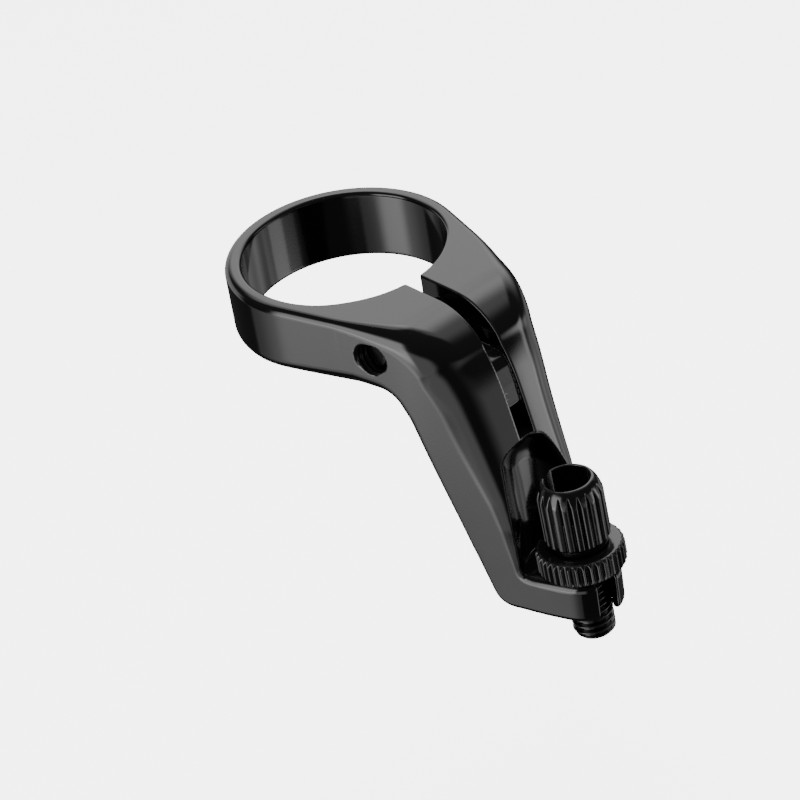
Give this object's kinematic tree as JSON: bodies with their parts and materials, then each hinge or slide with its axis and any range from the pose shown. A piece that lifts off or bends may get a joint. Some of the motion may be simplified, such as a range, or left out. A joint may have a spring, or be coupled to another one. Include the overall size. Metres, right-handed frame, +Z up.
{
  "type": "brake cable hanger",
  "caption": "Clamp-on front brake cable hanger: split steerer ring, swept arm with a forked tab, slotted barrel adjuster with knurled lock ring, and pinch bolt.",
  "frame": {"origin": "centre of the clamp ring's bore, at half its height, where the steerer's axis passes", "axes": "+Z up along the steerer, +X forwards to the adjuster, +Y to the side that the pinch bolt's head is on"},
  "size_m": [0.0642, 0.0334, 0.0468],
  "materials": {
    "gloss_black_aluminium": "gloss black anodised",
    "black_barrel": "gloss black anodised",
    "black_lock_ring": "black anodised",
    "black_steel_bolt": "black oxide",
    "black_steel_washer": "black oxide"
  },
  "bodies": {
    "hanger": {"hanger_body": "gloss_black_aluminium"},
    "lock_ring": {"lock_ring": "black_lock_ring"},
    "barrel": {"barrel_adjuster": "black_barrel"},
    "washer": {"pinch_washer": "black_steel_washer"},
    "bolt": {"pinch_bolt": "black_steel_bolt"}
  },
  "joints": [
    {"name": "adjuster_turn", "type": "hinge", "parent": "hanger", "child": "lock_ring", "pos_m": [0.04125, 0, -0.02866], "axis": [-0.0698, 0, 0.9976], "range_deg": [0, 1441]},
    {"name": "adjuster_rise", "type": "slide", "parent": "lock_ring", "child": "barrel", "axis": [-0.0698, 0, 0.9976], "range_m": [0, 0.004]},
    {"name": "pinch_bolt_turn", "type": "hinge", "parent": "hanger", "child": "washer", "pos_m": [0.01825, 0.0072, 0.0004], "axis": [0, 1, 0], "range_deg": [0, 1081]},
    {"name": "pinch_bolt_back_out", "type": "slide", "parent": "washer", "child": "bolt", "axis": [0, 1, 0], "range_m": [0, 0.0024]}
  ],
  "couplings": [
    {"joint": "adjuster_turn", "follows": "adjuster_rise", "rad_per_m": 6283.2},
    {"joint": "pinch_bolt_turn", "follows": "pinch_bolt_back_out", "rad_per_m": 7854}
  ]
}
